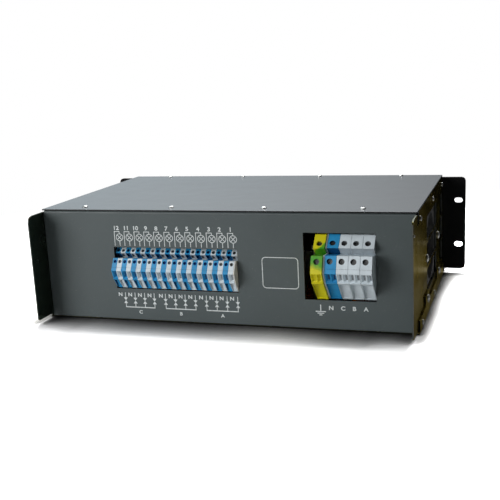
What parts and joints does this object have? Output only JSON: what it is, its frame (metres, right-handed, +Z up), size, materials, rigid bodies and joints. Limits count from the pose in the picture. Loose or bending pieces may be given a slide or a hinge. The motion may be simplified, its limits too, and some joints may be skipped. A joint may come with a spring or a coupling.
{
  "type": "dimmer rack",
  "caption": "Rack-mount stage lighting dimmer unit with mains and channel terminals, circuit breakers, keypad, display, signal sockets and cooling fans.",
  "frame": {"origin": "ground under the middle of the unit, at the bottom centre of its bounding box", "axes": "+X along the rack's width, +Y towards the operator's front panel, +Z up; the connection panel faces -Y"},
  "size_m": [0.4826, 0.3054, 0.128],
  "materials": {
    "yellow_passivated_steel": "zinc plated and passivated sheet",
    "case_grey_paint": "satin dark grey paint",
    "front_black_paint": "satin black paint",
    "terminal_blue": "moulded",
    "terminal_grey": "moulded",
    "terminal_yellow": "moulded",
    "end_plate_beige": "moulded",
    "bare_steel": "zinc plated",
    "breaker_white": "moulded",
    "lever_black": "moulded",
    "key_grey": "moulded",
    "display_red": "tinted window",
    "board_green": "solder resist on glass fibre",
    "socket_metal": "satin nickel",
    "fan_black": "moulded",
    "fan_grey": "moulded",
    "heatsink_aluminium": "extruded",
    "module_black": "moulded",
    "choke_copper": "enamelled copper wire"
  },
  "bodies": {
    "chassis": {"bottom_tray": "yellow_passivated_steel", "top_cover": "case_grey_paint", "rear_panel": "case_grey_paint", "side_panel_left": "yellow_passivated_steel", "side_panel_right": "yellow_passivated_steel", "front_panel": "front_black_paint", "channel_terminals_01": "terminal_blue", "channel_terminals_02": "terminal_blue", "channel_terminals_03": "terminal_blue", "channel_terminals_04": "terminal_blue", "channel_terminals_05": "terminal_blue", "channel_terminals_06": "terminal_blue", "channel_terminals_07": "terminal_blue", "channel_terminals_08": "terminal_blue", "channel_terminals_09": "terminal_blue", "channel_terminals_10": "terminal_blue", "channel_terminals_11": "terminal_blue", "channel_terminals_12": "terminal_blue", "channel_end_plate": "end_plate_beige", "mains_terminal_phase_a": "terminal_grey", "mains_terminal_phase_b": "terminal_grey", "mains_terminal_phase_c": "terminal_grey", "mains_terminal_neutral": "terminal_blue", "mains_terminal_earth": "terminal_yellow", "mains_separator_plate": "terminal_grey", "channel_rail": "bare_steel", "mains_rail": "bare_steel", "breaker_bank_a": "breaker_white", "breaker_bank_b": "breaker_white", "breaker_bank_c": "breaker_white", "display_window": "display_red", "control_board": "board_green", "signal_input_socket": "socket_metal", "signal_output_socket": "socket_metal", "fan_frame_left": "fan_black", "fan_frame_right": "fan_black", "heatsink": "heatsink_aluminium", "thyristor_module_a": "module_black", "thyristor_module_b": "module_black", "thyristor_module_c": "module_black", "choke_bank": "choke_copper", "control_transformer": "bare_steel"},
    "breaker_lever_01": {"breaker_lever_01": "lever_black"},
    "breaker_lever_02": {"breaker_lever_02": "lever_black"},
    "breaker_lever_03": {"breaker_lever_03": "lever_black"},
    "breaker_lever_04": {"breaker_lever_04": "lever_black"},
    "breaker_lever_05": {"breaker_lever_05": "lever_black"},
    "breaker_lever_06": {"breaker_lever_06": "lever_black"},
    "breaker_lever_07": {"breaker_lever_07": "lever_black"},
    "breaker_lever_08": {"breaker_lever_08": "lever_black"},
    "breaker_lever_09": {"breaker_lever_09": "lever_black"},
    "breaker_lever_10": {"breaker_lever_10": "lever_black"},
    "breaker_lever_11": {"breaker_lever_11": "lever_black"},
    "breaker_lever_12": {"breaker_lever_12": "lever_black"},
    "button_menu": {"button_menu": "key_grey"},
    "button_down": {"button_down": "key_grey"},
    "button_up": {"button_up": "key_grey"},
    "button_enter": {"button_enter": "key_grey"},
    "fan_impeller_left": {"fan_impeller_left": "fan_grey"},
    "fan_impeller_right": {"fan_impeller_right": "fan_grey"}
  },
  "joints": [
    {"name": "breaker_lever_01_throw", "type": "hinge", "parent": "chassis", "child": "breaker_lever_01", "pos_m": [-0.18725, 0.13999, 0.0653], "axis": [1, 0, 0], "range_deg": [0, 76]},
    {"name": "breaker_lever_02_throw", "type": "hinge", "parent": "chassis", "child": "breaker_lever_02", "pos_m": [-0.16975, 0.13999, 0.0653], "axis": [1, 0, 0], "range_deg": [0, 76]},
    {"name": "breaker_lever_03_throw", "type": "hinge", "parent": "chassis", "child": "breaker_lever_03", "pos_m": [-0.15225, 0.13999, 0.0653], "axis": [1, 0, 0], "range_deg": [0, 76]},
    {"name": "breaker_lever_04_throw", "type": "hinge", "parent": "chassis", "child": "breaker_lever_04", "pos_m": [-0.13475, 0.13999, 0.0653], "axis": [1, 0, 0], "range_deg": [0, 76]},
    {"name": "breaker_lever_05_throw", "type": "hinge", "parent": "chassis", "child": "breaker_lever_05", "pos_m": [-0.11725, 0.13999, 0.0653], "axis": [1, 0, 0], "range_deg": [0, 76]},
    {"name": "breaker_lever_06_throw", "type": "hinge", "parent": "chassis", "child": "breaker_lever_06", "pos_m": [-0.09975, 0.13999, 0.0653], "axis": [1, 0, 0], "range_deg": [0, 76]},
    {"name": "breaker_lever_07_throw", "type": "hinge", "parent": "chassis", "child": "breaker_lever_07", "pos_m": [-0.08225, 0.13999, 0.0653], "axis": [1, 0, 0], "range_deg": [0, 76]},
    {"name": "breaker_lever_08_throw", "type": "hinge", "parent": "chassis", "child": "breaker_lever_08", "pos_m": [-0.06475, 0.13999, 0.0653], "axis": [1, 0, 0], "range_deg": [0, 76]},
    {"name": "breaker_lever_09_throw", "type": "hinge", "parent": "chassis", "child": "breaker_lever_09", "pos_m": [-0.04725, 0.13999, 0.0653], "axis": [1, 0, 0], "range_deg": [0, 76]},
    {"name": "breaker_lever_10_throw", "type": "hinge", "parent": "chassis", "child": "breaker_lever_10", "pos_m": [-0.02975, 0.13999, 0.0653], "axis": [1, 0, 0], "range_deg": [0, 76]},
    {"name": "breaker_lever_11_throw", "type": "hinge", "parent": "chassis", "child": "breaker_lever_11", "pos_m": [-0.01225, 0.13999, 0.0653], "axis": [1, 0, 0], "range_deg": [0, 76]},
    {"name": "breaker_lever_12_throw", "type": "hinge", "parent": "chassis", "child": "breaker_lever_12", "pos_m": [0.00525, 0.13999, 0.0653], "axis": [1, 0, 0], "range_deg": [0, 76]},
    {"name": "button_menu_press", "type": "slide", "parent": "chassis", "child": "button_menu", "axis": [0, -1, 0], "range_m": [0, 0.0012], "stiffness_N_per_m": 600},
    {"name": "button_down_press", "type": "slide", "parent": "chassis", "child": "button_down", "axis": [0, -1, 0], "range_m": [0, 0.0012], "stiffness_N_per_m": 600},
    {"name": "button_up_press", "type": "slide", "parent": "chassis", "child": "button_up", "axis": [0, -1, 0], "range_m": [0, 0.0012], "stiffness_N_per_m": 600},
    {"name": "button_enter_press", "type": "slide", "parent": "chassis", "child": "button_enter", "axis": [0, -1, 0], "range_m": [0, 0.0012], "stiffness_N_per_m": 600},
    {"name": "fan_impeller_left_spin", "type": "hinge", "parent": "chassis", "child": "fan_impeller_left", "pos_m": [-0.1982, 0.01149, 0.0645], "axis": [1, 0, 0], "continuous": true},
    {"name": "fan_impeller_right_spin", "type": "hinge", "parent": "chassis", "child": "fan_impeller_right", "pos_m": [0.1982, 0.01149, 0.0645], "axis": [1, 0, 0], "continuous": true}
  ]
}
